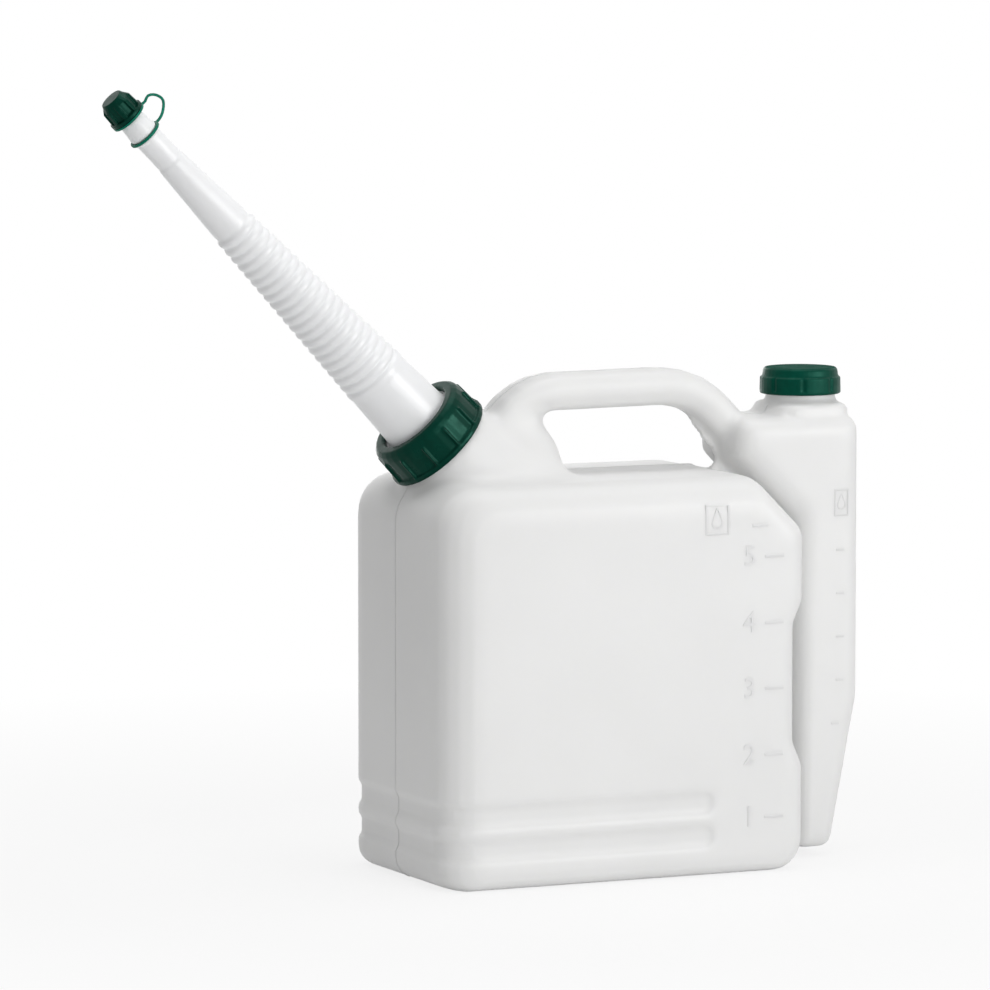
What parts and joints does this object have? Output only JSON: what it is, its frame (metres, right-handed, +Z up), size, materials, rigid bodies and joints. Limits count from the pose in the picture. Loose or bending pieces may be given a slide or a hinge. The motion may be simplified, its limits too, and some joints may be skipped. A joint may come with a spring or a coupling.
{
  "type": "two-chamber fuel and oil measuring can",
  "caption": "Blow-moulded two-chamber measuring can with hollow handle, corrugated pouring spout under a screw collar, and a screw-capped side oil chamber.",
  "frame": {"origin": "centre of the main tank's flat base, on the moulding's parting plane", "axes": "+Z up, +X from the spout side towards the oil chamber, front face with the scale towards -Y"},
  "size_m": [0.4362, 0.135, 0.4277],
  "materials": {
    "milky_plastic": "satin milky white, slightly translucent",
    "spout_plastic": "semi-gloss milky white, slightly translucent",
    "green_plastic": "semi-gloss dark green",
    "tether_plastic": "semi-gloss green, thin and flexible",
    "seal_rubber": "matt black",
    "seal_foam": "matt off-white foam"
  },
  "bodies": {
    "can": {"tank": "milky_plastic"},
    "pourer": {"spout": "spout_plastic", "spout_gasket": "seal_rubber", "cap_tether": "tether_plastic"},
    "collar": {"spout_collar": "green_plastic"},
    "tip": {"tip_cap": "green_plastic"},
    "liner": {"chamber_cap_liner": "seal_foam"},
    "oil_cap": {"chamber_cap": "green_plastic"}
  },
  "joints": [
    {"name": "spout_rise", "type": "slide", "parent": "can", "child": "pourer", "axis": [-0.7071, 0, 0.7071], "range_m": [0, 0.015]},
    {"name": "collar_turn", "type": "hinge", "parent": "pourer", "child": "collar", "pos_m": [-0.082, 0, 0.2345], "axis": [-0.7071, 0, 0.7071], "range_deg": [0, 1080]},
    {"name": "tip_cap_pull", "type": "slide", "parent": "pourer", "child": "tip", "axis": [-0.7071, 0, 0.7071], "range_m": [0, 0.018]},
    {"name": "oil_cap_rise", "type": "slide", "parent": "can", "child": "liner", "axis": [0, 0, 1], "range_m": [0, 0.012]},
    {"name": "oil_cap_turn", "type": "hinge", "parent": "liner", "child": "oil_cap", "pos_m": [0.1367, 0, 0.25], "axis": [0, 0, 1], "range_deg": [0, 1080]}
  ],
  "couplings": [
    {"joint": "spout_rise", "follows": "collar_turn", "m_per_rad": 0.000795},
    {"joint": "oil_cap_rise", "follows": "oil_cap_turn", "m_per_rad": 0.000636}
  ]
}
